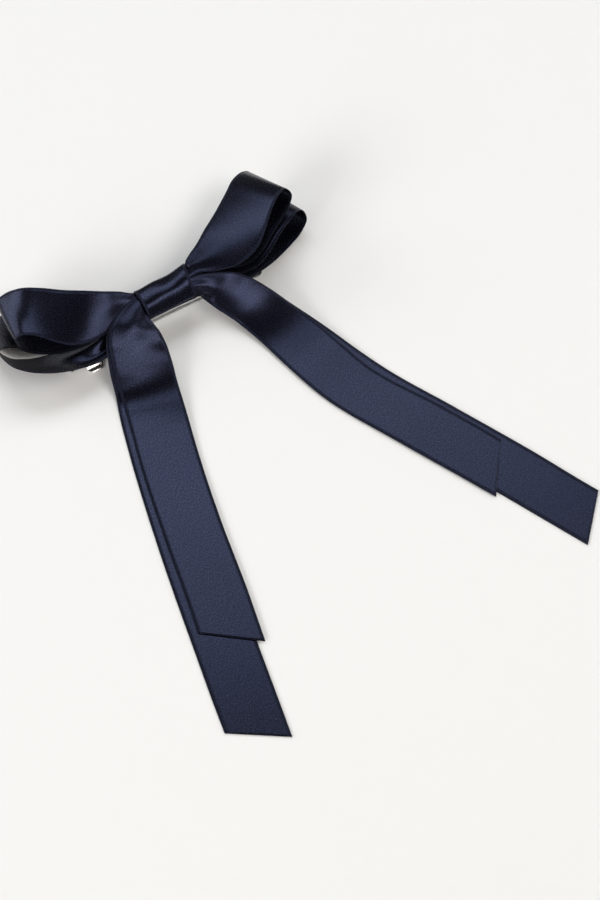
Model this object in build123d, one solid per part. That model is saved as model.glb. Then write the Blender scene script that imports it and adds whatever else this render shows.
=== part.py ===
"""Satin double bow on an automatic barrette, as separate pieces.  Millimetres.

X runs along the barrette from the clasp (-X) to the hinge (+X).  The tails fall towards -Y and +Z is up.
The pieces are drawn with z = 0 on the table that the bow lies on, and are then lowered by GRIP_HEIGHT, so
that the origin is the middle of the gap that holds the hair.
"""
from build123d import *
import os
from math import asin, degrees, sqrt

# ---- barrette ---------------------------------------------------------------------------------------
GRIP_HEIGHT = 9.0           # middle of the hair gap above the table
PLATE_TOP = 13.0            # crown of the arched plate above the table
PLATE_HALF = 45.0           # half of the plate's chord
PLATE_SAG = 8.0             # how far the ends drop below the crown
PLATE_WIDTH = 8.8
PLATE_THICK = 0.8
SEWING_HOLE_R = 1.0
SEWING_HOLE_X = 39.5

HINGE_X = 36.0              # hinge pin, which lies along Y
HINGE_Z = 2.5
PIN_R = 0.6
PIN_HEAD_R = 1.1
PIN_HALF = 4.2              # half of the pin's length over its heads
RUN_FIT = 0.05              # radial running clearance on the hinge pin
CHEEK_IN = 3.0              # inner face of a hinge cheek from the barrette's middle

BASE_THICK = 0.6            # sheet of the hinge bracket and the clasp's foot
RIVET_R = 0.8
RIVET_HEAD_R = 1.5
RIVET_TAIL_R = 1.3
RIVET_HEAD = 0.3            # height of a rivet's flat head
HINGE_RIVET_X = HINGE_X - 4.5

ARM_TOP = 6.9               # crown of the clamping arm above the table
ARM_WIDTH = 4.6
ARM_THICK = 0.9
KNUCKLE_R = 1.55
KNUCKLE_IN = 1.75           # the spring's curl sits between the arm's two knuckles
KNUCKLE_OUT = 2.9
TONGUE_X = -50.0            # tip of the arm's finger tongue
TONGUE_WIDTH = 8.0

BAR_WIDTH = 3.2             # leaf spring between plate and arm
BAR_THICK = 0.4
BAR_TIP_X = -22.0
BAR_BEND_X = 22.0           # where the spring leaves the plate's curve for the hinge
BAR_DROP = 0.3              # between the spring and the plate over it
BAR_CURL_R = 1.1

LATCH_X = -28.0             # root of the two squeeze legs
LATCH_RIVET_X = LATCH_X + 2.0
LATCH_HALF = 3.5            # half width of the clasp's foot
LEG_THICK = 0.6
LEG_DEPTH = 1.9
LEG_DROP = 0.35             # between a squeeze leg and the plate over it
LEG_END_X = -42.6
LEG_INNER = 2.9             # inner face of a squeeze leg from the barrette's middle
WING_OUT = 8.4              # outer edge of a finger wing from the barrette's middle
WING_X0 = -42.0
WING_X1 = -34.6
CATCH_X0 = -45.8            # the catch at each leg's end holds up a lug of the arm
CATCH_X1 = -44.0
CATCH_LOW = 1.9
CATCH_TOP = 2.4
LUG_TOP = 2.9

# ---- ribbon -----------------------------------------------------------------------------------------
RIBBON_WIDTH = 25.0
RIBBON_THICK = 0.55         # a ribbon as a plain solid
PINCH_HALF = 4.4            # half width of a gathered ribbon inside the knot
BACK = 0.5                  # the bow sits this far behind the barrette's middle
STACK_BASE = 14.1           # underside of the lowest gathered layer
STACK_PITCH = 0.8
KNOT_LEFT = -11.0
KNOT_RIGHT = 13.0
KNOT_BASE = 13.05
KNOT_TOP = 19.8
KNOT_HALF_DEPTH = 6.4
KNOT_WALL = 0.45
THREAD_R = 0.2
THREAD_PITCH = 0.9
PIVOT_LEFT = -10.4          # where the ribbons fan out at each end of the knot
PIVOT_RIGHT = 12.4
FAN_LENGTH = 24.0           # from the knot's end to where a loop is at its full width
LOOP_REACH = 72.0

PLATE_R = (PLATE_HALF ** 2 + PLATE_SAG ** 2) / (2 * PLATE_SAG)
PLATE_CENTRE_Z = PLATE_TOP - PLATE_R


def layer(index):
    """Underside of a gathered layer, counted from the bottom of the stack."""
    return STACK_BASE + index * STACK_PITCH


def mid(index):
    """Middle of a gathered layer's thickness."""
    return layer(index) + RIBBON_THICK / 2


def arch(radius_out, radius_in, x0, x1, width, centre_z):
    """Strip bent to an arch in the XZ plane, cut off at x0 and x1."""
    with BuildPart() as strip:
        with BuildSketch(Plane.XZ.offset(-width / 2)):
            Circle(radius_out)
            Circle(radius_in, mode=Mode.SUBTRACT)
            with Locations(((x0 + x1) / 2, radius_out - 20)):
                Rectangle(x1 - x0, 60, mode=Mode.INTERSECT)
        extrude(amount=width)
    return strip.part.moved(Location((0, 0, centre_z)))


def plan_prism(points, low=-5.0, high=60.0):
    """Upright prism over a plan outline, used to trim strips."""
    with BuildPart() as prism:
        with BuildSketch(Plane.XY.offset(low)):
            with BuildLine():
                Polyline(*points, close=True)
            make_face()
        extrude(amount=high - low)
    return prism.part


def parallel(corners, radii, shift):
    """Line of straight runs and arcs, moved sideways by shift (to the left of its run if positive)."""
    points = [Vector(*corner) for corner in corners]
    runs = [(end - start).normalized() for start, end in zip(points, points[1:])]
    lefts = [Vector(-run.Y, run.X) for run in runs]
    moved = [points[0] + lefts[0] * shift]
    moved_radii = []
    for index, radius in enumerate(radii):
        before, after = lefts[index], lefts[index + 1]
        moved.append(points[index + 1] + (before + after) * (shift / (1 + before.dot(after))))
        turn = 1 if runs[index].cross(runs[index + 1]).Z > 0 else -1
        moved_radii.append(radius - turn * shift)
    moved.append(points[-1] + lefts[-1] * shift)
    return FilletPolyline(*moved, radius=moved_radii)


def band(corners, radii, thick, half_width):
    """Strip of even thickness along a side view of straight runs and arcs (x, z), centred on y = 0."""
    side_view = Plane(origin=(0, half_width, 0), x_dir=(1, 0, 0), z_dir=(0, -1, 0))
    faces = [parallel(corners, radii, shift) for shift in (-thick / 2, thick / 2)]
    ends = [Line(faces[0] @ end, faces[1] @ end) for end in (0, 1)]
    return extrude(side_view * make_face(faces + ends), amount=2 * half_width)


def slab(x0, x1, y0, y1, z0, z1):
    """Upright box between two corners."""
    return Box(x1 - x0, y1 - y0, z1 - z0).moved(
        Location(((x0 + x1) / 2, (y0 + y1) / 2, (z0 + z1) / 2)))


def rod(radius, y0, y1, x, z):
    """Round rod along Y."""
    return Cylinder(radius, y1 - y0).moved(Location((x, (y0 + y1) / 2, z), (90, 0, 0)))


# ---- barrette pieces --------------------------------------------------------------------------------
def top_plate():
    plate = arch(PLATE_R, PLATE_R - PLATE_THICK, -PLATE_HALF, PLATE_HALF, PLATE_WIDTH, PLATE_CENTRE_Z)
    outline = SlotOverall(2 * PLATE_HALF, PLATE_WIDTH)
    plate = plate & extrude(outline, amount=40)
    for x in (-SEWING_HOLE_X, SEWING_HOLE_X):
        plate -= Cylinder(SEWING_HOLE_R, 40).moved(Location((x, 0, 10)))
    for x in (LATCH_RIVET_X, HINGE_RIVET_X):
        plate -= rivet_hole(x)
    return plate


def plate_z(x):
    """Underside of the plate at x."""
    return PLATE_CENTRE_Z + sqrt((PLATE_R - PLATE_THICK) ** 2 - x * x)


def at_plate(shape, x):
    """Moves a shape drawn at the origin to the plate's underside at x, square to the arch."""
    return shape.moved(Location((x, 0, plate_z(x)), (0, degrees(asin(x / PLATE_R)), 0)))


def rivet_hole(x):
    """Cutter for a rivet's hole, square to the plate at x."""
    return at_plate(Cylinder(RIVET_R, 12), x)


def rivet(x):
    """Flat-headed rivet that holds a fitting against the underside of the plate."""
    lift = 0.02
    shank = Cylinder(RIVET_R, PLATE_THICK + BASE_THICK + 0.4)
    shank = shank.moved(Location((0, 0, (PLATE_THICK - BASE_THICK) / 2)))
    head = Cylinder(RIVET_HEAD_R, RIVET_HEAD).moved(Location((0, 0, PLATE_THICK + RIVET_HEAD / 2)))
    tail_z = -BASE_THICK - RIVET_HEAD / 2 - lift
    upset = Cylinder(RIVET_TAIL_R, RIVET_HEAD).moved(Location((0, 0, tail_z)))
    return at_plate(shank + head + upset, x)


def fitting_base(x0, x1, half_width):
    """Riveted foot that follows the plate's underside."""
    outer = PLATE_R - PLATE_THICK
    return arch(outer, outer - BASE_THICK, x0, x1, 2 * half_width, PLATE_CENTRE_Z)


def hinge_bracket():
    """Foot under the plate with two cheeks that carry the pin."""
    cheek_out = CHEEK_IN + BASE_THICK
    foot = fitting_base(HINGE_X - 8.0, HINGE_X + 1.0, cheek_out)
    foot -= rivet_hole(HINGE_RIVET_X)
    root_in = HINGE_X - 4.0
    root_out = HINGE_X + 0.9
    side_view = [(root_in, plate_z(root_in) - 0.2), (root_out, plate_z(root_out) - 0.2),
                 (HINGE_X + 2.3, HINGE_Z), (HINGE_X - 2.0, HINGE_Z - 1.4)]
    for side in (-1, 1):
        far = max(side * CHEEK_IN, side * cheek_out)
        with BuildPart() as cheek:
            with BuildSketch(Plane.XZ.offset(-far)):
                with BuildLine():
                    Polyline(*side_view, close=True)
                make_face()
                with Locations((HINGE_X, HINGE_Z)):
                    Circle(2.3)
            extrude(amount=BASE_THICK)
        foot += cheek.part
    return foot - rod(PIN_R + 0.01, -6, 6, HINGE_X, HINGE_Z)


def hinge_pin():
    pin = rod(PIN_R, -PIN_HALF, PIN_HALF, HINGE_X, HINGE_Z)
    head_in = CHEEK_IN + BASE_THICK + 0.02
    for side in (-1, 1):
        pin += rod(PIN_HEAD_R, *sorted((side * head_in, side * PIN_HALF)), HINGE_X, HINGE_Z)
    return pin


def clamp_arm():
    """Arched arm with a rolled knuckle at the hinge, catch lugs beside the clasp and a finger tongue."""
    crown = ARM_TOP - ARM_THICK / 2
    line = [(HINGE_X - 1.2, HINGE_Z + 0.9), (0, crown + 2.45), (-42.5, 1.3), (TONGUE_X, 0.55)]
    arm = band(line, [200, 12], ARM_THICK, TONGUE_WIDTH / 2)
    neck = ARM_WIDTH / 2
    wide = TONGUE_WIDTH / 2
    half = [(HINGE_X + 3, neck), (-42.6, neck), (-43.2, wide), (-48.0, wide), (TONGUE_X, wide - 2.0)]
    outline = half + [(x, -y) for x, y in reversed(half)]
    arm = arm & plan_prism(outline)
    for side in (-1, 1):
        arm += rod(KNUCKLE_R, *sorted((side * KNUCKLE_IN, side * KNUCKLE_OUT)), HINGE_X, HINGE_Z)
        root = sorted((side * KNUCKLE_IN, side * neck))
        arm += slab(HINGE_X - 3.4, HINGE_X - 0.5, *root, HINGE_Z - 0.3, HINGE_Z + 1.3)
    arm -= slab(HINGE_X - 2.2, HINGE_X + 4, -KNUCKLE_IN, KNUCKLE_IN, -1, 9)
    lug_x0 = CATCH_X0 - 0.4
    lug_x1 = CATCH_X1 + 0.4
    for side in (-1, 1):
        arm += slab(lug_x0, lug_x1, *sorted((side * 3.75, side * wide)), 0.6, LUG_TOP)
        arm += slab(lug_x0, lug_x1, *sorted((side * 3.4, side * wide)), LUG_TOP - 0.35, LUG_TOP)
    return arm - rod(PIN_R + RUN_FIT, -6, 6, HINGE_X, HINGE_Z)


def tension_bar():
    """Leaf spring curled round the hinge pin, bowed up under the plate."""
    outer = PLATE_R - PLATE_THICK - BAR_DROP
    bar = arch(outer, outer - BAR_THICK, BAR_TIP_X, BAR_BEND_X, BAR_WIDTH, PLATE_CENTRE_Z)
    bend_start = BAR_BEND_X - 0.2
    bend_z = PLATE_CENTRE_Z + sqrt((outer - BAR_THICK / 2) ** 2 - bend_start ** 2)
    root = [(bend_start, bend_z), (HINGE_X - 8.0, HINGE_Z + 5.1), (HINGE_X - 0.6, HINGE_Z + 0.85)]
    bar += band(root, [6], BAR_THICK, BAR_WIDTH / 2)
    bar += rod(BAR_CURL_R, -BAR_WIDTH / 2, BAR_WIDTH / 2, HINGE_X, HINGE_Z)
    return bar - rod(PIN_R + RUN_FIT, -6, 6, HINGE_X, HINGE_Z)


def latch_base():
    """Riveted foot of the clasp, which the two squeeze legs spring from."""
    foot = fitting_base(LATCH_X + 0.3, LATCH_X + 4.2, LATCH_HALF)
    return foot - rivet_hole(LATCH_RIVET_X)


def squeeze_leg(side):
    """Springy leg on edge under the plate, with a finger wing and an outward catch near its end."""
    outer = PLATE_R - PLATE_THICK - LEG_DROP
    leg = arch(outer, outer - LEG_DEPTH, LEG_END_X, LATCH_X, LEG_THICK, PLATE_CENTRE_Z)
    leg = leg.moved(Location((0, -(LEG_INNER + LEG_THICK / 2), 0)))
    face = LEG_INNER + LEG_THICK
    wing_line = [(-LEG_INNER - 0.3, 4.4), (-face - 0.5, 2.6), (-face - 2.1, 0.95), (-WING_OUT + 1.2, 0.3),
                 (-WING_OUT, 0.95)]
    with BuildPart() as wing:
        with BuildSketch(Plane.YZ.offset(WING_X0)):
            with BuildLine() as line:
                Spline(*wing_line)
            trace(line.line, line_width=0.5)
        extrude(amount=WING_X1 - WING_X0)
    corner = 1.8
    outline = [(WING_X0, 0), (WING_X1, 0), (WING_X1, -WING_OUT + 2.2), (WING_X1 - corner, -WING_OUT - 1),
               (WING_X0 + corner, -WING_OUT - 1), (WING_X0, -WING_OUT + 2.2)]
    leg += wing.part & plan_prism(outline)
    leg += slab(-43.3, -42.4, -face, -LEG_INNER, CATCH_LOW, 4.0)
    leg += slab(CATCH_X0, -42.4, -face, -LEG_INNER, CATCH_LOW, CATCH_TOP)
    leg += slab(CATCH_X0, CATCH_X1, -face - 0.15, -face + 0.2, CATCH_LOW, CATCH_TOP)
    if side > 0:
        leg = mirror(leg, about=Plane.XZ)
    return leg


# ---- ribbon pieces ----------------------------------------------------------------------------------
def gathered(x_pivot, index):
    """Pinched stretch of one ribbon layer from the middle of the knot to where the ribbon fans out."""
    z0 = layer(index)
    z1 = z0 + RIBBON_THICK
    x0, x1 = sorted((0.02 if x_pivot > 0 else -0.02, x_pivot))
    stretch = slab(x0, x1, BACK - PINCH_HALF, BACK + PINCH_HALF, z0, z1)
    elbow = Cylinder(PINCH_HALF, RIBBON_THICK).moved(Location((x_pivot, BACK, (z0 + z1) / 2)))
    return stretch + elbow


def loop(x_pivot, angle, low_index, corners, radii):
    """Half of a bow's loop: two gathered layers that fan out and join in a fold at the tip."""
    half = RIBBON_WIDTH / 2
    edge = [(-1.0, PINCH_HALF), (3.0, PINCH_HALF), (FAN_LENGTH, half), (LOOP_REACH, half)]
    fan = edge + [(x, -y) for x, y in reversed(edge)]
    z_low = mid(low_index)
    z_top = z_low + STACK_PITCH
    path = [(-1.0, z_low)] + corners + [(-1.0, z_top)]
    flight = band(path, radii, RIBBON_THICK, half + 1) & plan_prism(fan)
    flight = flight.moved(Location((x_pivot, BACK, 0), (0, 0, angle)))
    return gathered(x_pivot, low_index) + gathered(x_pivot, low_index + 1) + flight


def tail(x_pivot, index, angle, outline):
    """Tail that leaves the knot gathered, drops over the edge of the plate and then lies on the table."""
    z_mid = mid(index)
    lift = index * STACK_PITCH
    rest = RIBBON_THICK / 2 + lift
    strip = band([(-12.0, z_mid), (6.0, z_mid), (34.0, rest), (235.0, rest)], [14, 30], RIBBON_THICK, 40.0)
    strip = strip.moved(Location((x_pivot, BACK, 0), (0, 0, angle)))
    return gathered(x_pivot, index) + (strip & plan_prism(outline))


def knot_wrap():
    """Ribbon wound once round the gathered layers."""
    length = KNOT_RIGHT - KNOT_LEFT
    depth = 2 * KNOT_HALF_DEPTH
    height = KNOT_TOP - KNOT_BASE
    with BuildPart() as wrap:
        with BuildSketch(Plane.YZ.offset(KNOT_LEFT)):
            RectangleRounded(depth, height, 2.4)
            RectangleRounded(depth - 2 * KNOT_WALL, height - 2 * KNOT_WALL, 1.95, mode=Mode.SUBTRACT)
        extrude(amount=length)
    return wrap.part.moved(Location((0, BACK, (KNOT_TOP + KNOT_BASE) / 2)))


def gathering_thread():
    """Three turns of thread that gather the ribbons in the middle of the knot."""
    low = layer(0) - THREAD_R - 0.05
    high = layer(5) + RIBBON_THICK + THREAD_R + 0.05
    half = PINCH_HALF + THREAD_R + 0.1
    threads = []
    for x in (-THREAD_PITCH, 0.0, THREAD_PITCH):
        plane = Plane(origin=(x, BACK, (low + high) / 2), x_dir=(0, 1, 0), z_dir=(1, 0, 0))
        path = plane * RectangleRounded(2 * half, high - low, 0.6).wire()
        section = Plane(origin=path @ 0, z_dir=path % 0) * Circle(THREAD_R)
        threads.append(sweep(section, path=path))
    return threads


# Each loop: direction from the knot in degrees, lowest gathered layer, and its side view (corners, radii).
LOOPS = {
    "lower_loop_left": (158, 2, [(12, mid(2)), (52, 0.7), (64, 0.7), (64, 8.5), (44, 10.5),
                                 (14, mid(3))], [25, 12, 3.6, 3.6, 20, 30]),
    "lower_loop_right": (21, 2, [(20, mid(2)), (52, 1.0), (65, 1.6), (65, 11.5), (40, 14.2),
                                 (14, mid(3))], [25, 10, 4.5, 4.5, 25, 30]),
    "upper_loop_left": (157, 4, [(15, mid(4)), (50, 10.5), (59.5, 14.5), (54, 21.5), (22, 21.6),
                                 (5, mid(5))], [40, 5, 4, 6, 30, 12]),
    "upper_loop_right": (29, 4, [(16, mid(4)), (50, 16.6), (60.5, 19.0), (57, 27), (20, 22),
                                 (5, mid(5))], [30, 6, 4.0, 4.5, 25, 12]),
}

PINCH_BACK = BACK + PINCH_HALF
PINCH_FRONT = BACK - PINCH_HALF
LEFT_BACK_EDGE = [(-7.5, PINCH_FRONT), (-7.5, PINCH_BACK), (-14.0, 3.5), (-23.0, -5.0), (-32.5, -9.0),
                  (-36.5, -20.0)]
RIGHT_BACK_EDGE = [(9.0, PINCH_FRONT), (9.0, PINCH_BACK), (16.0, 4.0), (26.0, -2.5), (38.5, -5.5)]


def left_outline(upper):
    """Plan outline of a left tail: fanned out at the knot, straight, and cut slantwise."""
    knot_end = [(-11.5, -8.0), (-11.5, -4.4)]
    if upper:
        return LEFT_BACK_EDGE + [(-60.6, -136.3), (-38.6, -152.8), (-12.5, -30.0)] + knot_end
    back_edge = [(x - 1.5 if y < -6 else x, y) for x, y in LEFT_BACK_EDGE]
    return back_edge + [(-72.4, -178.8), (-50.4, -193.2), (-14.5, -30.0)] + knot_end


def right_outline(upper):
    """Plan outline of a right tail."""
    knot_end = [(13.5, -7.0), (13.5, -4.4)]
    if upper:
        return RIGHT_BACK_EDGE + [(90.2, -121.5), (74.1, -143.4), (15.5, -14.0)] + knot_end
    back_edge = [(x + 2.5 if x > 30 else x, y) for x, y in RIGHT_BACK_EDGE]
    return back_edge + [(112.1, -161.5), (94.5, -180.4), (18.5, -14.0)] + knot_end


def build():
    nodes = {
        "top_plate": top_plate(),
        "hinge_bracket": hinge_bracket(),
        "hinge_rivet": rivet(HINGE_RIVET_X),
        "hinge_pin": hinge_pin(),
        "clamp_arm": clamp_arm(),
        "tension_bar": tension_bar(),
        "latch_base": latch_base(),
        "latch_rivet": rivet(LATCH_RIVET_X),
        "squeeze_leg_front": squeeze_leg(-1),
        "squeeze_leg_rear": squeeze_leg(1),
        "lower_tail_left": tail(PIVOT_LEFT, 0, -101, left_outline(False)),
        "lower_tail_right": tail(PIVOT_RIGHT, 0, -64, right_outline(False)),
        "upper_tail_left": tail(PIVOT_LEFT, 1, -101, left_outline(True)),
        "upper_tail_right": tail(PIVOT_RIGHT, 1, -64, right_outline(True)),
        "knot_wrap": knot_wrap(),
        "gathering_thread": Compound(children=gathering_thread()),
    }
    for name, (angle, low_index, corners, radii) in LOOPS.items():
        x_pivot = PIVOT_LEFT if name.endswith("left") else PIVOT_RIGHT
        nodes[name] = loop(x_pivot, angle, low_index, corners, radii)
    return nodes


os.makedirs("parts", exist_ok=True)
for name, shape in build().items():
    export_step(shape.moved(Location((0, 0, -GRIP_HEIGHT))), f"parts/{name}.step")
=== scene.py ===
"""Satin double bow on an automatic barrette: its ribbons as gathered cloth, and the finish of every piece.

The ribbon tables are in millimetres, with heights above the table that the bow lies on.
"""
import bpy
import math
import numpy as np
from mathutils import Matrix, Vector


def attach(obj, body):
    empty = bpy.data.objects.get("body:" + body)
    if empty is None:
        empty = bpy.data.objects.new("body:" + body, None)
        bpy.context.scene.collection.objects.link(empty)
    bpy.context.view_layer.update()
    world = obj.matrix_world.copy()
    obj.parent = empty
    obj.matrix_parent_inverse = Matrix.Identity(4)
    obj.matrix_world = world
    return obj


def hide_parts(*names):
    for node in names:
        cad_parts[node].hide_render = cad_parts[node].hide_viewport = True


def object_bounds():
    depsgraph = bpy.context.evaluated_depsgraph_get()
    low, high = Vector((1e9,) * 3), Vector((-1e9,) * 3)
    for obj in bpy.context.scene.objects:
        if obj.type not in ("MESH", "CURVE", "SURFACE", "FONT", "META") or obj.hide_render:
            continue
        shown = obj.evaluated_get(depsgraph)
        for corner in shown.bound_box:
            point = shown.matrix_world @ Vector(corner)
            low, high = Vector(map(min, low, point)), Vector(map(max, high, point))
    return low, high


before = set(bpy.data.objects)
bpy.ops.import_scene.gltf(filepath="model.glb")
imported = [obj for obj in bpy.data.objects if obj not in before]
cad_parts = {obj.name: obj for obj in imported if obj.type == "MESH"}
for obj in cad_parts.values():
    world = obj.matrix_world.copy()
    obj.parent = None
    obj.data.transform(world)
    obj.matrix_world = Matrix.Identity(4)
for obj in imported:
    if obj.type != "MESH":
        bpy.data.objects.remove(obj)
cad_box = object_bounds()

MM = 0.001
TABLE_Z = cad_box[0].z

# ---- ribbon and thread sizes, mm ----------------------------------------------------------------------
RIBBON_WIDTH = 25.0
RIBBON_THICK = 0.3
SELVEDGE_THICK = 0.34
SELVEDGE_WIDTH = 1.1
EDGE_PLACES = [0.0, 0.08, 0.3, 0.7, SELVEDGE_WIDTH, SELVEDGE_WIDTH + 0.25]      # distances from an edge
EDGE_THICKS = [0.12, 0.3, SELVEDGE_THICK, SELVEDGE_THICK, RIBBON_THICK - 0.04, RIBBON_THICK]
MIDDLE_POINTS = 26          # across a ribbon, from selvedge to selvedge
FOLDS = 1.5                 # gathers across one ribbon where it is pinched
STEP = 0.8                  # between cross-sections along a ribbon
FEWEST_STEPS = 8

THREAD_TURNS = 3
THREAD_RADIUS = 0.2
THREAD_START = -1.0         # along the barrette
THREAD_PITCH = 0.7
TURN_POINTS = 40            # points on the thread in one turn

# ---- colours and finishes -----------------------------------------------------------------------------
NAVY = (0.0028, 0.0029, 0.0048)
SATIN_ROUGHNESS = 0.18
SATIN_IOR = 1.3
SATIN_TINT = (0.47, 0.54, 1.0, 1)
THREAD_DARK = (0.004, 0.004, 0.009, 1)
THREAD_LIGHT = (0.012, 0.013, 0.024, 1)
NICKEL = (0.80, 0.79, 0.77)
SPRING_STEEL = (0.62, 0.62, 0.63)
TABLE_LOW = (0.93, 0.925, 0.915, 1)
TABLE_HIGH = (0.945, 0.94, 0.932, 1)
ROOM = (1.0, 0.93, 0.85, 1)
ROOM_LOW = 0.42             # brightness of the room at the table's level
ROOM_HIGH = 0.07            # and from 30 degrees up
ROOM_FADE = 0.5             # sine of those 30 degrees

# Noise scales per metre, and distances from a ribbon's edge in metres
FLOAT_SCALE = (900.0, 5200.0, 1.0)
SPECK_SCALE = (1500.0, 2200.0, 1.0)
CLOUD_SCALE = (60.0, 110.0, 1.0)
SELVEDGE_FADE = (0.0010, 0.0013)
GROOVE_START = (0.0009, 0.00115)
GROOVE_END = (0.00125, 0.0016)
RIB_PITCH = 0.00042
ROLLING_SCALE = (90.0, 4200.0, 4200.0)

# ---- light and camera ---------------------------------------------------------------------------------
FLOOR_SIZE = 6.0
AIM = Vector((0.0161, -0.0839, TABLE_Z))
CAMERA_AZIMUTH = math.radians(-30.0)
CAMERA_ELEVATION = math.radians(60.4)
CAMERA_DISTANCE = 1.031
LENS = 100.0
SENSOR = 36.0

# Name, direction from the middle of the picture, distance, (width, height), power, colour
LIGHTS = [
    ("key", (0.17, 0.52, 0.84), 1.3, (1.1, 0.6), 5.9, (0.925, 0.965, 1.0)),
    ("front", (0.28, -0.48, 0.83), 1.3, (0.9, 0.5), 6.3, (1.0, 0.975, 0.94)),
    ("left_back", (-0.58, 0.70, 0.42), 1.4, (0.8, 0.5), 4.0, (0.97, 0.985, 1.0)),
    ("left", (-0.92, -0.22, 0.42), 1.5, (0.9, 0.6), 12.5, (1.0, 0.985, 0.96)),
    ("right", (0.88, 0.08, 0.45), 1.5, (0.9, 0.6), 4.5, (1.0, 0.985, 0.96)),
]

# ---- ribbon shapes ------------------------------------------------------------------------------------
# A station is (front edge, back edge, crown, gather limit): the ribbon's two edges, how far its middle stands
# proud of the line between them, and how deep its gathers may be.  A negative limit turns the gathers over.
UPPER_LOOP_LEFT = [
    ((-2.5, -2.2, 15.6), (-2.5, 7.0, 17.0), 0.0, -0.1),
    ((-8.0, -2.0, 15.5), (-8.0, 7.0, 17.0), 0.0, -0.1),
    ((-11.5, -1.6, 14.9), (-11.4, 7.2, 16.9), 0.2, -0.25),
    ((-19.0, -1.0, 14.2), (-16.4, 9.2, 16.6), 0.4, -0.8),
    ((-28.5, -2.0, 13.6), (-22.5, 12.4, 15.6), 0.6, -0.8),
    ((-38.0, -1.5, 11.6), (-30.4, 17.5, 12.6), 1.0, -0.1),
    ((-48.0, 0.5, 10.2), (-39.5, 22.5, 10.0), 1.0, 0.0),
    ((-57.0, 4.5, 10.2), (-49.5, 28.5, 9.0), 0.5, 0.0),
    ((-62.5, 8.5, 11.2), (-57.5, 32.0, 8.6), 0.2, 0.0),
    ((-65.0, 11.0, 13.4), (-62.0, 35.2, 10.0), 0.2, 0.0),
    ((-64.6, 12.3, 16.2), (-62.2, 36.0, 12.8), 0.3, 0.0),
    ((-62.0, 12.2, 18.0), (-58.5, 35.8, 15.6), 0.2, 0.0),
    ((-57.7, 9.7, 18.3), (-53.3, 32.6, 20.0), 0.0, 0.0),
    ((-50.2, 3.2, 16.0), (-45.3, 26.3, 23.0), 0.4, 0.0),
    ((-43.9, -1.2, 14.7), (-38.0, 19.9, 24.3), 0.6, 0.0),
    ((-36.1, -2.8, 14.3), (-30.6, 15.1, 24.5), 0.7, 0.0),
    ((-27.9, -1.9, 14.4), (-23.8, 11.8, 23.2), 0.6, 0.1),
    ((-19.4, 0.5, 15.0), (-17.4, 9.8, 20.8), 0.2, 0.25),
    ((-11.5, -1.0, 14.9), (-11.4, 7.4, 18.3), 0.2, 0.15),
    ((-8.0, -1.6, 16.0), (-8.0, 7.0, 17.9), 0.0, 0.1),
    ((-2.5, -1.6, 16.3), (-2.5, 7.0, 17.9), 0.0, 0.1),
]
LOWER_LOOP_LEFT = [
    ((-2.5, -2.6, 14.5), (-2.5, 7.0, 15.0), 0.0, -0.2),
    ((-8.0, -2.8, 14.4), (-8.0, 7.0, 14.9), 0.0, -0.3),
    ((-11.5, -3.0, 13.9), (-11.5, 7.2, 14.5), 0.0, -0.6),
    ((-21.0, -6.0, 11.8), (-18.5, 6.4, 12.6), 0.1, -1.6),
    ((-31.0, -9.6, 10.2), (-27.0, 5.0, 10.0), 0.3, -1.8),
    ((-40.3, -11.6, 11.6), (-36.5, 3.4, 7.8), 0.6, -1.4),
    ((-47.2, -11.8, 13.8), (-45.2, 5.0, 5.2), 0.8, -0.8),
    ((-53.9, -11.2, 16.0), (-52.6, 7.4, 2.6), 0.5, 0.0),
    ((-60.2, -9.6, 17.8), (-58.2, 9.6, 1.2), 0.4, 0.0),
    ((-66.9, -5.9, 18.9), (-63.2, 12.0, 0.9), 0.4, 0.0),
    ((-71.6, -0.8, 19.0), (-67.6, 15.2, 0.8), 0.4, 0.0),
    ((-73.4, 4.6, 18.4), (-70.2, 20.4, 0.7), 0.4, 0.0),
    ((-73.2, 9.6, 16.8), (-70.6, 27.0, 0.7), 0.4, 0.0),
    ((-71.0, 13.0, 13.8), (-67.8, 32.6, 0.8), 0.5, 0.0),
    ((-66.6, 14.0, 10.0), (-62.0, 35.4, 1.6), 0.6, 0.0),
    ((-61.0, 12.6, 8.0), (-55.5, 35.0, 2.8), 0.6, 0.0),
    ((-54.5, 9.0, 7.2), (-48.5, 31.8, 4.4), 0.6, 0.0),
    ((-45.5, 5.0, 8.0), (-38.5, 25.8, 7.0), 0.5, 0.1),
    ((-35.5, 2.5, 10.4), (-29.0, 18.6, 10.2), 0.3, 0.3),
    ((-26.0, 0.6, 12.8), (-21.5, 12.0, 13.4), 0.2, 0.4),
    ((-18.0, -1.4, 13.2), (-16.0, 8.2, 15.0), 0.1, 0.4),
    ((-11.5, -2.0, 14.2), (-11.4, 7.2, 16.0), 0.0, 0.25),
    ((-8.0, -2.4, 15.0), (-8.0, 7.2, 16.2), 0.0, 0.15),
    ((-2.5, -2.4, 15.1), (-2.5, 7.2, 16.1), 0.0, 0.1),
]
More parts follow.
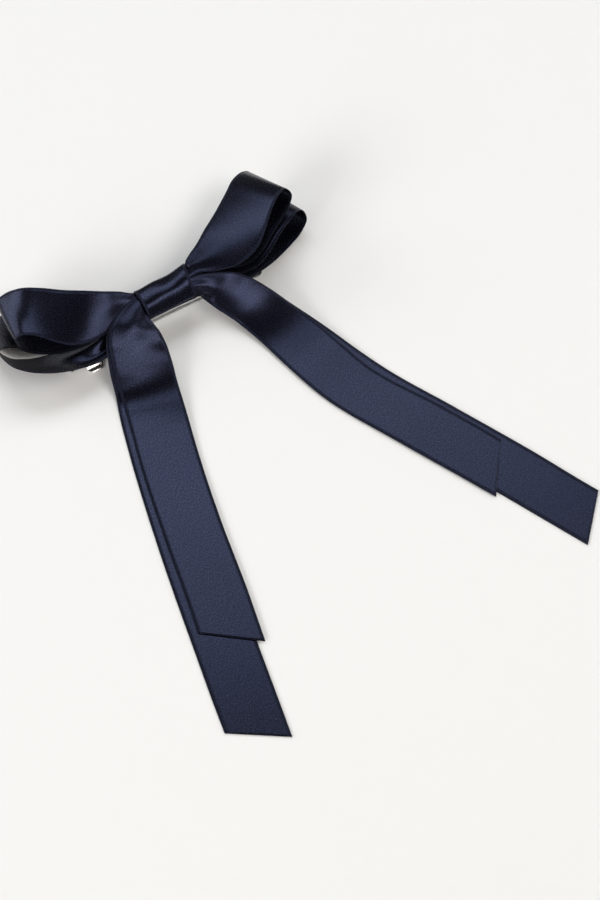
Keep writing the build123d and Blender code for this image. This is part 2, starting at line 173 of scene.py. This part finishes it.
UPPER_LOOP_RIGHT = [
    ((3.0, -1.8, 16.0), (3.0, 7.0, 17.0), 0.0, -0.1),
    ((8.0, -0.6, 16.2), (8.0, 7.4, 17.2), 0.0, -0.15),
    ((12.6, 1.0, 16.4), (13.0, 8.6, 17.2), 0.0, -0.3),
    ((18.6, 2.6, 17.2), (16.6, 10.8, 17.6), 0.2, -0.3),
    ((27.0, 0.0, 16.6), (23.0, 14.4, 16.4), 0.4, -0.3),
    ((37.2, -2.4, 16.2), (30.4, 18.6, 15.6), 0.8, -0.1),
    ((45.6, -0.4, 16.8), (37.6, 23.2, 15.6), 0.8, 0.0),
    ((53.0, 4.4, 17.4), (46.0, 28.4, 15.8), 0.6, 0.0),
    ((60.7, 9.0, 18.4), (54.5, 33.8, 15.8), 0.3, 0.0),
    ((66.2, 12.0, 20.4), (58.8, 36.2, 16.6), 0.3, 0.0),
    ((69.0, 14.6, 23.2), (60.4, 37.6, 18.6), 0.3, 0.0),
    ((67.2, 16.6, 26.8), (56.8, 36.9, 21.6), 0.3, 0.0),
    ((62.2, 14.2, 28.2), (51.5, 34.7, 23.0), 0.4, 0.0),
    ((55.9, 9.2, 28.0), (44.7, 29.5, 23.2), 0.6, 0.0),
    ((49.2, 2.6, 26.8), (36.3, 23.4, 22.8), 0.9, 0.0),
    ((41.5, -2.8, 24.2), (28.2, 18.2, 22.2), 1.2, 0.0),
    ((31.6, -4.0, 21.6), (21.8, 14.0, 21.0), 1.0, 0.1),
    ((23.0, -1.0, 19.8), (17.6, 12.0, 20.0), 0.6, 0.3),
    ((16.6, 2.4, 18.8), (14.6, 10.2, 19.2), 0.3, 0.3),
    ((12.6, 2.4, 18.0), (13.0, 8.6, 18.6), 0.1, 0.15),
    ((8.0, 1.4, 17.8), (8.0, 7.6, 18.4), 0.0, 0.1),
    ((3.0, -1.4, 17.0), (3.0, 7.0, 17.9), 0.0, 0.1),
]
LOWER_LOOP_RIGHT = [
    ((3.0, -2.0, 14.4), (3.0, 7.0, 14.9), 0.0, -0.1),
    ((8.0, -1.4, 14.4), (8.0, 7.2, 15.0), 0.0, -0.2),
    ((12.6, -0.6, 14.3), (13.0, 8.0, 14.9), 0.0, -0.4),
    ((19.0, -1.2, 12.8), (17.0, 9.4, 14.2), 0.1, -0.3),
    ((28.3, -4.9, 10.4), (24.2, 11.8, 11.8), 0.1, -0.1),
    ((37.1, -4.2, 8.1), (33.2, 16.9, 8.8), 0.2, 0.0),
    ((46.0, -2.3, 6.2), (41.7, 22.4, 5.8), 0.3, 0.0),
    ((55.3, 1.5, 3.6), (49.9, 26.4, 3.0), 0.4, 0.0),
    ((63.8, 5.5, 2.2), (57.6, 30.2, 1.6), 0.4, 0.0),
    ((70.0, 8.0, 3.6), (63.2, 32.6, 2.0), 0.3, 0.0),
    ((73.6, 9.8, 7.6), (65.8, 33.6, 4.6), 0.3, 0.0),
    ((73.0, 11.8, 12.2), (64.0, 34.6, 8.6), 0.3, 0.0),
    ((70.2, 11.6, 14.2), (60.4, 33.6, 10.6), 0.3, 0.0),
    ((63.8, 8.2, 15.0), (54.0, 30.4, 11.8), 0.2, 0.0),
    ((56.9, 4.2, 15.2), (47.0, 26.2, 12.6), 0.0, 0.0),
    ((49.4, -0.8, 14.8), (39.0, 21.6, 13.2), -0.4, 0.0),
    ((39.3, -4.6, 14.2), (29.8, 16.4, 13.6), -0.4, 0.1),
    ((27.6, -2.4, 14.6), (21.6, 12.8, 14.6), 0.0, 0.3),
    ((18.6, 1.0, 15.6), (16.2, 9.8, 16.0), 0.1, 0.3),
    ((12.6, 0.6, 15.4), (13.0, 8.2, 16.2), 0.0, 0.2),
    ((8.0, -0.6, 15.4), (8.0, 7.4, 16.2), 0.0, 0.15),
    ((3.0, -1.8, 15.2), (3.0, 7.0, 16.1), 0.0, 0.1),
]
# A tail's station starts with its edge nearer the other tail.
UPPER_TAIL_LEFT = [
    ((-2.5, -3.4, 15.3), (-2.5, 4.4, 18.5), 0.2, 0.1),
    ((-7.0, -3.9, 15.0), (-7.4, 4.8, 18.4), 0.3, 0.15),
    ((-10.4, -4.5, 14.5), (-11.4, 5.4, 18.4), 0.5, 0.3),
    ((-10.0, -7.7, 12.5), (-19.7, 3.0, 17.9), 1.0, 0.4),
    ((-9.3, -10.9, 10.9), (-28.1, -2.7, 17.1), 1.0, 0.25),
    ((-9.1, -14.4, 8.9), (-31.5, -7.4, 14.9), 0.6, 0.1),
    ((-9.7, -18.8, 7.6), (-33.1, -11.7, 11.6), 0.4, 0.0),
    ((-10.6, -23.4, 5.8), (-34.5, -17.3, 7.9), 0.3, 0.0),
    ((-12.6, -31.0, 3.5), (-36.0, -24.5, 2.7), 0.2, 0.0),
    ((-14.8, -40.3, 2.3), (-38.3, -33.9, 1.2), 0.1, 0.0),
    ((-17.0, -49.2, 1.4), (-40.9, -44.0, 1.0), 0.0, 0.0),
    ((-19.5, -58.7, 1.0), (-43.6, -54.0, 1.0), 0.0, 0.0),
    ((-28.3, -96.8, 1.0), (-52.0, -92.0, 1.0), 0.1, 0.0),
    ((-34.6, -130.5, 1.0), (-57.6, -121.0, 1.0), 0.0, 0.0),
    ((-39.4, -152.8, 1.0), (-60.8, -136.3, 1.0), 0.0, 0.0),
]
LOWER_TAIL_LEFT = [
    ((-2.5, -3.2, 14.8), (-2.5, 4.6, 18.0), 0.2, 0.1),
    ((-7.0, -3.7, 14.4), (-7.4, 5.0, 17.8), 0.3, 0.15),
    ((-10.8, -4.3, 13.9), (-11.6, 5.6, 17.7), 0.5, 0.3),
    ((-10.9, -7.3, 11.7), (-20.1, 3.5, 17.0), 1.0, 0.4),
    ((-10.7, -10.9, 10.0), (-29.1, -2.3, 16.2), 1.0, 0.25),
    ((-10.9, -14.6, 8.0), (-32.7, -7.2, 14.0), 0.6, 0.1),
    ((-11.7, -18.9, 6.6), (-34.5, -11.5, 10.7), 0.4, 0.0),
    ((-12.8, -23.5, 4.8), (-36.3, -16.8, 6.9), 0.3, 0.0),
    ((-15.0, -30.7, 2.4), (-38.1, -24.2, 1.8), 0.2, 0.0),
    ((-17.7, -39.9, 1.3), (-41.4, -34.3, 0.5), 0.1, 0.0),
    ((-20.2, -49.4, 0.6), (-44.3, -44.7, 0.4), 0.0, 0.0),
    ((-22.6, -58.7, 0.4), (-47.0, -55.0, 0.4), 0.0, 0.0),
    ((-32.0, -96.8, 0.4), (-56.2, -94.6, 0.4), 0.0, 0.0),
    ((-42.0, -150.0, 0.4), (-66.2, -145.0, 0.4), 0.0, 0.0),
    ((-47.8, -180.0, 0.4), (-70.8, -169.5, 0.4), 0.0, 0.0),
    ((-50.4, -193.2, 0.4), (-72.4, -178.8, 0.4), 0.0, 0.0),
]
UPPER_TAIL_RIGHT = [
    ((3.0, -3.2, 15.2), (3.0, 2.4, 18.1), 0.2, 0.1),
    ((8.0, -3.0, 15.0), (8.4, 2.4, 18.0), 0.3, 0.15),
    ((12.4, -3.0, 14.6), (13.0, 2.6, 18.0), 0.6, 0.3),
    ((14.4, -4.2, 12.7), (18.5, 1.6, 18.2), 0.8, 0.4),
    ((16.2, -6.2, 10.5), (23.8, -0.4, 17.8), 0.8, 0.3),
    ((17.5, -9.1, 9.0), (29.4, -2.8, 16.9), 0.9, 0.1),
    ((19.7, -13.0, 6.8), (35.6, -6.6, 13.5), 1.3, 0.1),
    ((23.1, -19.4, 4.2), (42.1, -13.3, 8.2), 1.4, 0.0),
    ((27.3, -30.6, 2.0), (48.7, -26.0, 4.0), 0.6, 0.0),
    ((30.5, -43.8, 1.4), (53.7, -38.6, 2.2), 0.2, 0.0),
    ((33.2, -55.0, 1.3), (56.9, -50.2, 1.6), 0.0, 0.0),
    ((36.4, -65.9, 1.0), (60.3, -61.7, 1.0), 0.0, 0.0),
    ((53.4, -102.3, 1.0), (77.0, -94.5, 1.0), 0.1, 0.0),
    ((67.4, -130.0, 1.0), (87.2, -115.0, 1.0), 0.0, 0.0),
    ((74.1, -143.4, 1.0), (90.2, -121.5, 1.0), 0.0, 0.0),
]
LOWER_TAIL_RIGHT = [
    ((3.0, -3.0, 14.5), (3.0, 2.8, 17.4), 0.2, 0.1),
    ((8.0, -2.8, 14.3), (8.4, 2.8, 17.2), 0.3, 0.15),
    ((12.2, -3.4, 13.8), (13.2, 2.8, 17.0), 0.5, 0.3),
    ((14.0, -4.8, 11.4), (19.0, 1.0, 16.4), 1.0, 0.5),
    ((16.0, -6.9, 8.5), (24.8, -0.8, 14.9), 1.5, 0.6),
    ((17.9, -10.1, 6.9), (30.7, -3.7, 13.3), 1.6, 0.2),
    ((20.5, -14.0, 5.1), (36.7, -8.0, 10.4), 1.4, 0.1),
    ((24.3, -20.1, 2.6), (43.7, -16.0, 6.2), 0.9, 0.0),
    ((29.0, -31.5, 0.9), (50.9, -28.3, 2.6), 0.4, 0.0),
    ((33.0, -45.0, 0.5), (56.7, -41.7, 1.3), 0.1, 0.0),
    ((36.6, -55.6, 0.4), (61.0, -53.4, 0.8), 0.0, 0.0),
    ((41.0, -66.0, 0.4), (65.4, -64.4, 0.4), 0.0, 0.0),
    ((59.6, -107.5, 0.4), (82.2, -98.8, 0.4), 0.0, 0.0),
    ((76.8, -143.5, 0.4), (99.0, -133.0, 0.4), 0.0, 0.0),
    ((90.0, -171.0, 0.4), (109.0, -155.0, 0.4), 0.0, 0.0),
    ((94.5, -180.4, 0.4), (112.1, -161.5, 0.4), 0.0, 0.0),
]
# The wrap's stations go round the knot from below, over the front; each starts with its left edge.
KNOT_WRAP = [
    ((-10.2, 5.0, 13.4), (12.8, 5.6, 13.4), 0.0, 0.1),
    ((-10.2, 0.0, 13.3), (12.4, 0.0, 13.3), 0.0, 0.1),
    ((-10.0, -3.8, 13.3), (12.0, -3.2, 13.3), 0.0, 0.1),
    ((-10.4, -5.1, 14.0), (12.0, -4.4, 14.2), 0.0, 0.1),
    ((-11.0, -4.4, 15.5), (11.8, -3.2, 15.8), 0.0, 0.1),
    ((-11.1, -2.9, 17.2), (11.8, -1.4, 17.8), 0.0, 0.15),
    ((-11.2, -1.2, 18.6), (11.8, 0.8, 19.6), 0.1, 0.2),
    ((-11.2, 0.8, 19.3), (11.9, 2.8, 20.4), 0.3, 0.3),
    ((-11.4, 4.6, 19.6), (12.6, 5.8, 20.6), 0.7, 0.4),
    ((-11.4, 7.7, 18.7), (13.4, 9.0, 19.6), 0.7, 0.4),
    ((-11.2, 8.5, 16.9), (13.6, 9.9, 17.7), 0.4, 0.2),
    ((-10.8, 8.0, 15.2), (13.4, 9.2, 15.4), 0.2, 0.2),
    ((-10.6, 7.0, 14.1), (13.0, 7.8, 14.2), 0.0, 0.1),
    ((-10.4, 3.0, 13.8), (12.6, 3.2, 13.8), 0.0, 0.1),
]
# One turn of the gathering thread: (across the barrette, height)
THREAD_TURN = [(-2.8, 14.3), (-2.6, 15.0), (-0.8, 15.9), (2.4, 17.2), (5.2, 17.9), (6.6, 17.2), (7.0, 15.8),
               (6.2, 14.5), (2.0, 14.2)]

# CAD node: stations, side that faces outwards, phase of the gathers, what it rests on
RIBBONS = {
    "upper_loop_left": (UPPER_LOOP_LEFT, 1, 0.4, "lower_loop_left"),
    "lower_loop_left": (LOWER_LOOP_LEFT, 1, 0.4, "top_plate"),
    "upper_loop_right": (UPPER_LOOP_RIGHT, -1, 1.1, "lower_loop_right"),
    "lower_loop_right": (LOWER_LOOP_RIGHT, -1, 1.1, "top_plate"),
    "upper_tail_left": (UPPER_TAIL_LEFT, -1, 0.9, "lower_tail_left"),
    "lower_tail_left": (LOWER_TAIL_LEFT, -1, 0.9, "top_plate"),
    "upper_tail_right": (UPPER_TAIL_RIGHT, 1, 2.4, "lower_tail_right"),
    "lower_tail_right": (LOWER_TAIL_RIGHT, 1, 2.4, "top_plate"),
    "knot_wrap": (KNOT_WRAP, 1, 0.0, "top_plate"),
}


# ---- ribbon mesh --------------------------------------------------------------------------------------
def smooth(knots, values, at):
    """Values carried smoothly from knot to knot, read at other places along them."""
    slopes = np.gradient(values, knots, axis=0)
    i = np.clip(np.searchsorted(knots, at, side="right") - 1, 0, len(knots) - 2)
    span = (knots[i + 1] - knots[i])[:, None]
    u = (at - knots[i])[:, None] / span
    start = (2 * u ** 3 - 3 * u ** 2 + 1) * values[i] + (u ** 3 - 2 * u ** 2 + u) * span * slopes[i]
    end = (3 * u ** 2 - 2 * u ** 3) * values[i + 1] + (u ** 3 - u ** 2) * span * slopes[i + 1]
    return start + end


def unit(vectors):
    """The vectors, each scaled to a length of 1."""
    return vectors / np.linalg.norm(vectors, axis=-1, keepdims=True)


def across_places():
    """Places across a ribbon, closer together at the selvedges, from 0 at one edge to 1 at the other."""
    edge = np.array(EDGE_PLACES) / RIBBON_WIDTH
    middle = np.linspace(edge[-1], 1 - edge[-1], MIDDLE_POINTS)[1:-1]
    return np.concatenate([edge, middle, 1 - edge[::-1]])


def thickness(v):
    """Thickness across a ribbon: rounded edges, firm selvedges, and a shallow groove beside each."""
    return np.interp(np.minimum(v, 1 - v) * RIBBON_WIDTH, EDGE_PLACES, EDGE_THICKS)


def steps(points, axis=0):
    """Distances from each point to the next."""
    return np.linalg.norm(np.diff(points, axis=axis), axis=-1)


def ribbon(name, stations, outer, phase):
    """A ribbon through its stations, and its length in mm.

    outer is 1 where (path x across) points away from the table or out of the loop, otherwise -1.
    """
    keys = np.array([[*a, *b, crown, limit] for a, b, crown, limit in stations], float)
    middle = (keys[:, 0:3] + keys[:, 3:6]) / 2
    along = np.concatenate([[0], np.cumsum(steps(middle))])
    count = max(FEWEST_STEPS, int(along[-1] / STEP))
    rows = smooth(along, keys, np.linspace(0, along[-1], count + 1))
    a, b = rows[:, 0:3], rows[:, 3:6]
    chord = np.linalg.norm(b - a, axis=1)
    path = unit(np.gradient((a + b) / 2, axis=0))
    normal = unit(np.cross(path, b - a)) * outer
    v = across_places()
    spare = np.sqrt(np.maximum(RIBBON_WIDTH / chord - 1, 0))
    depth = np.sign(rows[:, 7]) * np.minimum(chord / (math.pi * FOLDS) * spare, np.abs(rows[:, 7]))
    wave = np.cos(2 * math.pi * FOLDS * v + phase) * np.sin(math.pi * v) ** 0.5
    lift = rows[:, 6:7] * 4 * v * (1 - v) + depth[:, None] * wave
    sheet = a[:, None] + (b - a)[:, None] * v[:, None] + normal[:, None] * lift[..., None]
    facing = unit(np.cross(np.gradient(sheet, axis=0), np.gradient(sheet, v, axis=1)))
    half = facing * (thickness(v) / 2)[:, None]
    ring = np.concatenate([sheet + half, (sheet - half)[:, ::-1]], axis=1)
    length = np.concatenate([np.zeros((1, len(v))), np.cumsum(steps(sheet), axis=0)])
    place_u = np.concatenate([length, length[:, ::-1]], axis=1)
    place_v = np.tile(np.concatenate([v, v[::-1]]) * RIBBON_WIDTH, (len(rows), 1))
    return mesh_object(name, ring, np.stack([place_u, place_v], axis=-1)), length[-1].mean()


def mesh_object(name, rings, places):
    """A closed tube of rings, with square caps, and its cloth coordinates in metres as the map Cloth."""
    rows, size = rings.shape[:2]
    half = size // 2
    points = rings.reshape(-1, 3) * MM + np.array([0, 0, TABLE_Z])
    faces = []
    for i in range(rows - 1):
        for j in range(size):
            k = (j + 1) % size
            faces.append((i * size + j, (i + 1) * size + j, (i + 1) * size + k, i * size + k))
    last = (rows - 1) * size
    for j in range(half - 1):
        faces.append((j, j + 1, size - 2 - j, size - 1 - j))
        faces.append((last + j, last + size - 1 - j, last + size - 2 - j, last + j + 1))
    mesh = bpy.data.meshes.new(name)
    mesh.from_pydata(points.tolist(), [], faces)
    mesh.validate()
    flat = places.reshape(-1, 2) * MM
    corner = np.zeros(len(mesh.loops), int)
    mesh.loops.foreach_get("vertex_index", corner)
    cloth = mesh.uv_layers.new(name="Cloth")
    cloth.data.foreach_set("uv", flat[corner].astype(np.float32).ravel())
    mesh.polygons.foreach_set("use_smooth", [True] * len(mesh.polygons))
    piece = bpy.data.objects.new(name, mesh)
    bpy.context.scene.collection.objects.link(piece)
    bpy.context.view_layer.objects.active = piece
    piece.select_set(True)
    bpy.ops.object.mode_set(mode="EDIT")
    bpy.ops.mesh.select_all(action="SELECT")
    bpy.ops.mesh.normals_make_consistent(inside=False)
    bpy.ops.object.mode_set(mode="OBJECT")
    piece.select_set(False)
    return piece


# ---- materials ----------------------------------------------------------------------------------------
class Nodes:
    """Short way to add nodes to a material."""

    def __init__(self, name):
        self.material = bpy.data.materials.new(name)
        self.material.use_nodes = True
        self.tree = self.material.node_tree
        self.shader = self.tree.nodes["Principled BSDF"]

    def add(self, kind, inputs=(), **settings):
        """A node of that kind, with each input linked or set."""
        node = self.tree.nodes.new(kind)
        for key, value in settings.items():
            setattr(node, key, value)
        for key, value in dict(inputs).items():
            if isinstance(value, bpy.types.NodeSocket):
                self.tree.links.new(value, node.inputs[key])
            else:
                node.inputs[key].default_value = value
        return node

    def math(self, operation, a, b=0.0):
        return self.add("ShaderNodeMath", {0: a, 1: b}, operation=operation).outputs[0]

    def times(self, a, b):
        return self.math("MULTIPLY", a, b)

    def ease(self, value, low, high, out_low=0.0, out_high=1.0):
        """Value eased from out_low at low to out_high at high."""
        inputs = {"Value": value, "From Min": low, "From Max": high, "To Min": out_low, "To Max": out_high}
        return self.add("ShaderNodeMapRange", inputs, interpolation_type="SMOOTHSTEP").outputs["Result"]

    def noise(self, place, scale, detail):
        """Noise over a place, from 0 to 1."""
        inputs = {"Vector": place, "Scale": scale, "Detail": detail}
        return self.add("ShaderNodeTexNoise", inputs).outputs["Fac"]

    def scaled_noise(self, place, scales, detail):
        """Noise with its own scale along each axis."""
        scaled = self.add("ShaderNodeMapping", {0: place, "Scale": scales}).outputs[0]
        return self.noise(scaled, 1.0, detail)

    def mix(self, factor, low, high):
        """Colour low where the factor is 0, and high where it is 1."""
        return self.add("ShaderNodeMix", {0: factor, 6: low, 7: high}, data_type="RGBA").outputs[2]

    def bump(self, height, distance, strength):
        inputs = {"Height": height, "Distance": distance, "Strength": strength}
        self.link(self.add("ShaderNodeBump", inputs).outputs[0], "Normal")

    def link(self, value, socket):
        self.tree.links.new(value, self.shader.inputs[socket])


def shade_of(colour, share):
    """A colour made darker or lighter, with its alpha."""
    return tuple(c * share for c in colour) + (1,)


def satin(name, colour, roughness):
    """Double-faced satin: long floats along the ribbon, a firm ribbed selvedge down each edge, and painted
    shade in the groove beside it.
    """
    n = Nodes(name)
    cloth = n.add("ShaderNodeUVMap", uv_map="Cloth").outputs[0]
    split = n.add("ShaderNodeSeparateXYZ", {0: cloth})
    along, over = split.outputs[0], split.outputs[1]
    edge = n.math("MINIMUM", over, n.math("SUBTRACT", RIBBON_WIDTH * MM, over))
    selvedge = n.ease(edge, *SELVEDGE_FADE, 1.0, 0.0)
    groove = n.times(n.ease(edge, *GROOVE_START), n.ease(edge, *GROOVE_END, 1.0, 0.0))
    floats = n.scaled_noise(cloth, FLOAT_SCALE, 2.0)
    speck = n.scaled_noise(cloth, SPECK_SCALE, 1.0)
    cloud = n.scaled_noise(cloth, CLOUD_SCALE, 3.0)

    ribs = n.math("SINE", n.times(along, 2 * math.pi / RIB_PITCH))
    body_height = n.math("ADD", floats, n.times(speck, 0.8))
    height = n.math("ADD", body_height, n.times(n.times(ribs, 0.6), selvedge))
    n.bump(n.math("SUBTRACT", height, n.times(groove, 1.6)), 0.00005, 0.6)

    tone = n.math("ADD", n.times(speck, 0.6), n.times(cloud, 0.4))
    weave = n.mix(n.ease(tone, 0.3, 0.7), shade_of(colour, 0.62), shade_of(colour, 1.35))
    # Painted shade: the base colour is darkened to 0.3 of the navy along the groove beside each selvedge.
    n.link(n.mix(n.times(groove, 0.75), weave, shade_of(colour, 0.3)), "Base Color")
    uneven = n.math("ADD", n.times(speck, 0.16), n.times(selvedge, 0.08))
    n.link(n.math("ADD", uneven, roughness), "Roughness")
    lustre = n.math("SUBTRACT", 1.0, n.times(selvedge, 0.35))
    n.link(n.times(n.ease(speck, 0.3, 0.7, 0.6, 1.55), lustre), "Specular IOR Level")
    n.link(n.add("ShaderNodeTangent", direction_type="UV_MAP", uv_map="Cloth").outputs[0], "Tangent")
    n.shader.inputs["IOR"].default_value = SATIN_IOR
    n.shader.inputs["Anisotropic"].default_value = 0.5
    n.shader.inputs["Anisotropic Rotation"].default_value = 0.25        # a quarter turn: across the ribbon
    n.shader.inputs["Specular Tint"].default_value = SATIN_TINT
    return n.material


def cotton_thread():
    """Matt navy thread with a fine twist."""
    n = Nodes("navy_thread")
    place = n.add("ShaderNodeTexCoord").outputs["Object"]
    twist = n.add("ShaderNodeTexWave", {"Vector": place, "Scale": 900.0, "Distortion": 1.5}).outputs["Fac"]
    n.bump(twist, 0.00006, 0.6)
    n.link(n.mix(twist, THREAD_DARK, THREAD_LIGHT), "Base Color")
    n.shader.inputs["Roughness"].default_value = 0.75
    n.shader.inputs["Sheen Weight"].default_value = 0.3
    return n.material


def plated(name, colour, roughness, grain):
    """Bright plating over rolled strip: fine rolling lines along the barrette, and faint handling marks."""
    n = Nodes(name)
    place = n.add("ShaderNodeTexCoord").outputs["Object"]
    lines = n.scaled_noise(place, ROLLING_SCALE, 3.0)
    marks = n.noise(place, 420.0, 4.0)
    n.bump(n.math("ADD", n.times(lines, grain), n.times(marks, 0.4)), 0.00002, 0.35)
    n.link(n.mix(n.ease(marks, 0.35, 0.7), shade_of(colour, 0.82), shade_of(colour, 1.0)), "Base Color")
    n.link(n.math("ADD", n.times(marks, 0.14), roughness - 0.07), "Roughness")
    n.shader.inputs["Metallic"].default_value = 1.0
    return n.material


def pale_table():
    """Matt white table, very slightly uneven in tone."""
    n = Nodes("pale_table")
    place = n.add("ShaderNodeTexCoord").outputs["Object"]
    n.link(n.mix(n.noise(place, 3.0, 2.0), TABLE_LOW, TABLE_HIGH), "Base Color")
    n.shader.inputs["Roughness"].default_value = 0.6
    n.shader.inputs["Specular IOR Level"].default_value = 0.2
    return n.material


# ---- assembly -----------------------------------------------------------------------------------------
ribbon_satin = satin("navy_satin", NAVY, SATIN_ROUGHNESS)
for node, (stations, outer, phase, support) in RIBBONS.items():
    piece, length = ribbon(node + "_satin", stations, outer, phase)
    piece.data.materials.append(ribbon_satin)
    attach(piece, "bow")
    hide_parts(node)


def gathering_thread():
    """Turns of thread round the gathered ribbons, inside the wrap."""
    turn = np.array([*THREAD_TURN, THREAD_TURN[0]])
    rounds = smooth(np.arange(len(turn)), turn, np.linspace(0, len(turn) - 1, TURN_POINTS + 1)[:-1])
    curve = bpy.data.curves.new("gathering_thread_wound", "CURVE")
    curve.dimensions = "3D"
    curve.bevel_depth = THREAD_RADIUS * MM
    curve.bevel_resolution = 3
    line = curve.splines.new("POLY")
    line.points.add(TURN_POINTS * THREAD_TURNS)
    for i, point in enumerate(line.points):
        x = THREAD_START + THREAD_PITCH * i / TURN_POINTS
        y, z = rounds[i % TURN_POINTS]
        point.co = (x * MM, y * MM, z * MM + TABLE_Z, 1)
    thread = bpy.data.objects.new("gathering_thread_wound", curve)
    bpy.context.scene.collection.objects.link(thread)
    thread.data.materials.append(cotton_thread())
    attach(thread, "bow")
    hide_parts("gathering_thread")


gathering_thread()
nickel = plated("bright_nickel", NICKEL, 0.24, 0.8)
spring = plated("spring_steel", SPRING_STEEL, 0.3, 1.0)
for node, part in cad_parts.items():
    part.data.materials.clear()
    part.data.materials.append(spring if node == "tension_bar" else nickel)

# ---- floor, lights and camera -------------------------------------------------------------------------
bpy.ops.mesh.primitive_plane_add(size=FLOOR_SIZE, location=(AIM.x, AIM.y, TABLE_Z))
floor = bpy.context.object
floor.name = "table_top"
floor.data.materials.append(pale_table())


def area_light(name, toward, distance, size, power, colour):
    """Soft light aimed at the middle of the picture; toward is the direction from there to the light."""
    data = bpy.data.lights.new(name, "AREA")
    data.shape = "RECTANGLE"
    data.size, data.size_y = size
    data.energy = power
    data.color = colour
    lamp = bpy.data.objects.new(name, data)
    direction = Vector(toward).normalized()
    lamp.location = AIM + direction * distance
    lamp.rotation_euler = direction.to_track_quat("Z", "Y").to_euler()
    bpy.context.scene.collection.objects.link(lamp)


def room():
    """A room that is brightest at the table's level and dims with height."""
    world = bpy.data.worlds.new("studio")
    world.use_nodes = True
    nodes, links = world.node_tree.nodes, world.node_tree.links
    direction = nodes.new("ShaderNodeSeparateXYZ")
    links.new(nodes.new("ShaderNodeTexCoord").outputs["Generated"], direction.inputs[0])
    dimming = nodes.new("ShaderNodeMapRange")
    dimming.interpolation_type = "SMOOTHSTEP"
    dimming.inputs["From Max"].default_value = ROOM_FADE
    dimming.inputs["To Min"].default_value = ROOM_LOW
    dimming.inputs["To Max"].default_value = ROOM_HIGH
    links.new(direction.outputs["Z"], dimming.inputs["Value"])
    links.new(dimming.outputs["Result"], nodes["Background"].inputs["Strength"])
    nodes["Background"].inputs["Color"].default_value = ROOM
    return world


for light in LIGHTS:
    area_light(*light)
bpy.context.scene.world = room()
bpy.context.scene.view_settings.view_transform = "Standard"

camera_data = bpy.data.cameras.new("camera")
camera_data.lens = LENS
camera_data.sensor_width = SENSOR
camera = bpy.data.objects.new("camera", camera_data)
back = Vector((math.sin(CAMERA_AZIMUTH) * math.cos(CAMERA_ELEVATION),
               -math.cos(CAMERA_AZIMUTH) * math.cos(CAMERA_ELEVATION),
               math.sin(CAMERA_ELEVATION)))
camera.location = AIM + back * CAMERA_DISTANCE
camera.rotation_euler = back.to_track_quat("Z", "Y").to_euler()
bpy.context.scene.collection.objects.link(camera)
bpy.context.scene.camera = camera
